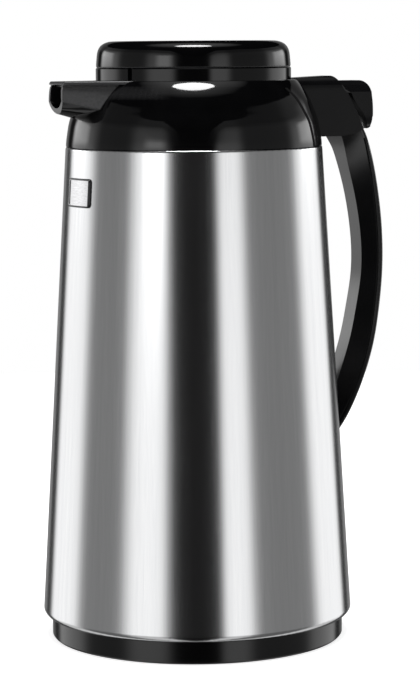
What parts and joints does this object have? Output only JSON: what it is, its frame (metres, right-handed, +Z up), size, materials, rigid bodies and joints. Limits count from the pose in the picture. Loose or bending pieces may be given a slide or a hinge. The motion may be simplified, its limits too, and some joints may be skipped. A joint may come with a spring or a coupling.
{
  "type": "vacuum carafe",
  "caption": "Tall tapered steel vacuum carafe with a black shoulder, a covered spout, a screw lid, a bowed side handle and a thumb lever that lifts the pouring valve.",
  "frame": {"origin": "centre of the round base, on the surface it stands on", "axes": "+Z up the body axis, +X towards the handle, -X towards the spout, +Y to the left seen from behind the handle"},
  "size_m": [0.1875, 0.1606, 0.308],
  "materials": {
    "brushed_steel": "fine vertical-banded satin brushing",
    "badge": "plain satin",
    "black_gloss": "moulded gloss",
    "black_plastic": "moulded satin gloss",
    "black_handle": "moulded satin",
    "black_matte": "matt moulded",
    "rubber": "matt",
    "silicone": "translucent white silicone",
    "liner_glass": "silvered blown glass",
    "spacer_felt": "pressed fibre",
    "foam": "expanded foam",
    "screw_steel": "plated",
    "spring_steel": "bright wire"
  },
  "bodies": {
    "flask": {"outer_jacket": "brushed_steel", "badge_plate": "badge", "base_ring": "black_plastic", "anti_slip_ring": "rubber", "base_plate": "black_matte", "base_screws": "screw_steel", "liner_inner_bottle": "liner_glass", "liner_outer_bottle": "liner_glass", "liner_spacers": "spacer_felt", "liner_cushion": "rubber", "neck_gasket": "silicone", "shoulder_cover": "black_gloss", "spout_cover": "black_gloss", "pour_collar": "black_gloss", "handle_frame": "black_handle", "handle_back_cover": "black_handle", "head_screws": "screw_steel", "foot_backing_plate": "screw_steel", "foot_screw": "screw_steel", "lever_pin": "screw_steel", "lever_return_spring": "spring_steel"},
    "lever": {"thumb_lever": "black_handle", "lever_finger": "screw_steel"},
    "lid_seal": {"lid_gasket": "silicone"},
    "lid": {"lid_cap": "black_gloss", "lid_plug": "black_matte", "lid_insulation": "foam", "lid_screws": "screw_steel", "valve_spring": "spring_steel"},
    "valve": {"valve_stem": "screw_steel", "valve_plug": "black_matte", "valve_seal": "silicone", "valve_lift_ring": "black_matte", "stem_clip": "spring_steel"}
  },
  "joints": [
    {"name": "lever_press", "type": "hinge", "parent": "flask", "child": "lever", "pos_m": [0.066, 0, 0.279], "axis": [0, 1, 0], "range_deg": [0, 6], "stiffness_Nm_per_rad": 0.35, "springref_deg": -20.05, "deforming": ["lever_return_spring"]},
    {"name": "lid_lift", "type": "slide", "parent": "flask", "child": "lid_seal", "axis": [0, 0, 1], "range_m": [0, 0.06]},
    {"name": "lid_turn", "type": "hinge", "parent": "lid_seal", "child": "lid", "pos_m": [0, 0, 0], "axis": [0, 0, 1], "range_deg": [0, 900]},
    {"name": "valve_lift", "type": "slide", "parent": "lid", "child": "valve", "axis": [0, 0, 1], "range_m": [0, 0.0033], "deforming": ["valve_spring"]}
  ],
  "couplings": [
    {"joint": "lid_lift", "follows": "lid_turn", "m_per_rad": 0.0038197},
    {"joint": "valve_lift", "follows": "lever_press", "m_per_rad": 0.0315}
  ]
}
